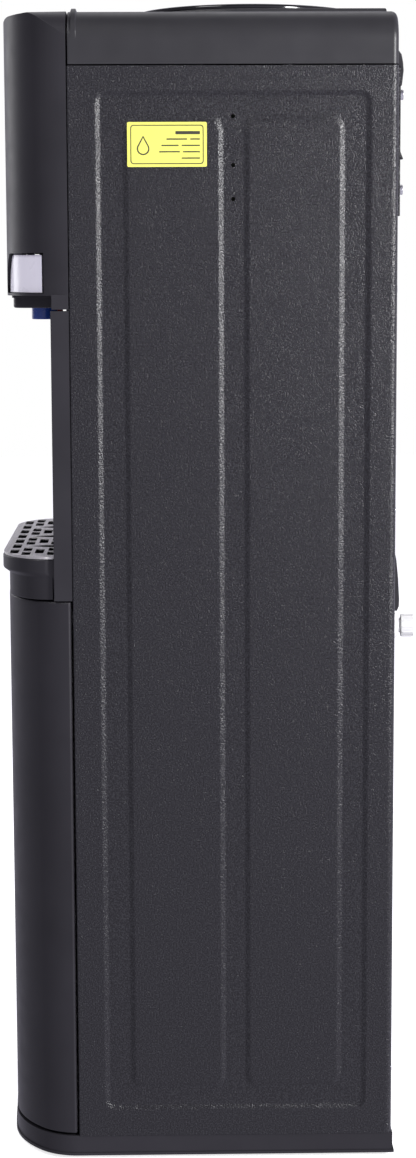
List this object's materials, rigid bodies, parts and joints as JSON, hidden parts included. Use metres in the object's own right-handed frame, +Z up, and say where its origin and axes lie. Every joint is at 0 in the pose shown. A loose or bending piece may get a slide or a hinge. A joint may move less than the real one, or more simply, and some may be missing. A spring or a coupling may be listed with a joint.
{
  "type": "floor-standing water dispenser",
  "caption": "Tall hot and cold water dispenser with a bottle seat on top, push paddles over a dispensing recess, a drip tray and a hinged storage door.",
  "frame": {"origin": "floor under the middle of the overall box", "axes": "+Z up, -Y towards the person using it, +X to that person's right"},
  "size_m": [0.3003, 0.3528, 0.9846],
  "materials": {
    "black_satin_plastic": "satin, fine moulded grain",
    "black_gloss_plastic": "polished",
    "black_textured_steel": "hammered powder coat",
    "galvanised_steel": "galvanised",
    "brushed_steel": "brushed",
    "tank_steel": "drawn",
    "bright_steel": "zinc plated",
    "pearl_plastic": "pearl gloss",
    "white_plastic": "satin",
    "blue_plastic": "gloss",
    "red_plastic": "gloss",
    "lamp_lens": "frosted lens",
    "rubber": "matte",
    "silicone_hose": "translucent silicone",
    "foam": "foamed",
    "copper": "drawn copper",
    "mica_heater": "mica and steel band",
    "black_enamel": "gloss enamel",
    "yellow_label": "printed vinyl"
  },
  "bodies": {
    "cabinet": {"base_plate": "black_satin_plastic", "feet": "rubber", "side_panel_left": "black_textured_steel", "side_panel_right": "black_textured_steel", "rear_panel": "black_textured_steel", "switch_plate": "black_textured_steel", "inner_frame": "galvanised_steel", "head_cover": "black_satin_plastic", "recess_panel": "black_satin_plastic", "top_cover": "black_satin_plastic", "seat_ring": "black_gloss_plastic", "feed_probe": "white_plastic", "tap_shroud": "black_satin_plastic", "cold_tap_body": "white_plastic", "hot_tap_body": "white_plastic", "cold_spout": "blue_plastic", "hot_spout": "red_plastic", "cold_valve_spring": "bright_steel", "hot_valve_spring": "bright_steel", "paddle_pins": "bright_steel", "indicator_lights": "lamp_lens", "hinge_pins": "bright_steel", "magnet_catch": "galvanised_steel", "storage_liner": "white_plastic", "storage_shelf": "white_plastic", "cold_tank": "tank_steel", "tank_lid": "white_plastic", "tank_gasket": "rubber", "baffle_disc": "white_plastic", "cold_insulation": "foam", "evaporator_coil": "copper", "hot_tank": "tank_steel", "hot_insulation": "foam", "heater_band": "mica_heater", "thermostats": "white_plastic", "water_pipes": "silicone_hose", "compressor": "black_enamel", "compressor_grommets": "rubber", "condenser": "black_enamel", "switch_housings": "black_gloss_plastic", "cover_clip": "black_satin_plastic", "drain_pipe": "white_plastic", "drain_hood": "black_satin_plastic", "power_gland": "rubber", "screws": "bright_steel", "warning_sticker": "yellow_label"},
    "door": {"door_outer": "black_satin_plastic", "door_liner": "white_plastic", "strike_plate": "galvanised_steel"},
    "cold_paddle": {"cold_paddle": "pearl_plastic"},
    "hot_paddle": {"hot_paddle": "pearl_plastic"},
    "cold_valve": {"cold_stem": "bright_steel"},
    "hot_valve": {"hot_stem": "bright_steel"},
    "child_lock": {"child_lock": "red_plastic"},
    "drip_tray": {"drip_tray": "black_satin_plastic"},
    "drip_grille": {"drip_grille": "brushed_steel"},
    "cold_rocker": {"cold_switch": "black_gloss_plastic"},
    "hot_rocker": {"hot_switch": "black_gloss_plastic"},
    "drain_seal": {"drain_seal": "rubber"},
    "drain_cap": {"drain_cap": "white_plastic"}
  },
  "joints": [
    {"name": "door_hinge", "type": "hinge", "parent": "cabinet", "child": "door", "pos_m": [-0.146, -0.12, 0.256], "axis": [0, 0, -1], "range_deg": [0, 100]},
    {"name": "cold_paddle_hinge", "type": "hinge", "parent": "cabinet", "child": "cold_paddle", "pos_m": [0.066, -0.1575, 0.801], "axis": [1, 0, 0], "range_deg": [0, 5.5], "stiffness_Nm_per_rad": 0.4, "springref_deg": -8.59},
    {"name": "cold_valve_lift", "type": "slide", "parent": "cabinet", "child": "cold_valve", "axis": [0, 0, 1], "range_m": [0, 0.0022], "deforming": ["cold_valve_spring"]},
    {"name": "hot_paddle_hinge", "type": "hinge", "parent": "cabinet", "child": "hot_paddle", "pos_m": [-0.066, -0.1575, 0.801], "axis": [1, 0, 0], "range_deg": [0, 5.5], "stiffness_Nm_per_rad": 0.4, "springref_deg": -8.59},
    {"name": "hot_valve_lift", "type": "slide", "parent": "cabinet", "child": "hot_valve", "axis": [0, 0, 1], "range_m": [0, 0.0022], "deforming": ["hot_valve_spring"]},
    {"name": "child_lock_slide", "type": "slide", "parent": "cabinet", "child": "child_lock", "axis": [1, 0, 0], "range_m": [0, 0.005]},
    {"name": "tray_draw", "type": "slide", "parent": "cabinet", "child": "drip_tray", "axis": [0, -1, 0], "range_m": [0, 0.15]},
    {"name": "grille_lift", "type": "slide", "parent": "drip_tray", "child": "drip_grille", "axis": [0, 0, 1], "range_m": [0, 0.06]},
    {"name": "cold_rocker_tilt", "type": "hinge", "parent": "cabinet", "child": "cold_rocker", "pos_m": [0.112, 0.1515, 0.8645], "axis": [1, 0, 0], "range_deg": [-16, 0]},
    {"name": "hot_rocker_tilt", "type": "hinge", "parent": "cabinet", "child": "hot_rocker", "pos_m": [0.084, 0.1515, 0.8645], "axis": [1, 0, 0], "range_deg": [-16, 0]},
    {"name": "drain_seal_travel", "type": "slide", "parent": "cabinet", "child": "drain_seal", "axis": [0, 1, 0], "range_m": [0, 0.0045]},
    {"name": "drain_cap_turn", "type": "hinge", "parent": "drain_seal", "child": "drain_cap", "pos_m": [0.1, 0.1705, 0.4605], "axis": [0, 1, 0], "range_deg": [0, 540]}
  ],
  "couplings": [
    {"joint": "cold_valve_lift", "follows": "cold_paddle_hinge", "m_per_rad": 0.0177},
    {"joint": "hot_valve_lift", "follows": "hot_paddle_hinge", "m_per_rad": 0.0177},
    {"joint": "drain_seal_travel", "follows": "drain_cap_turn", "m_per_rad": 0.00047746}
  ]
}
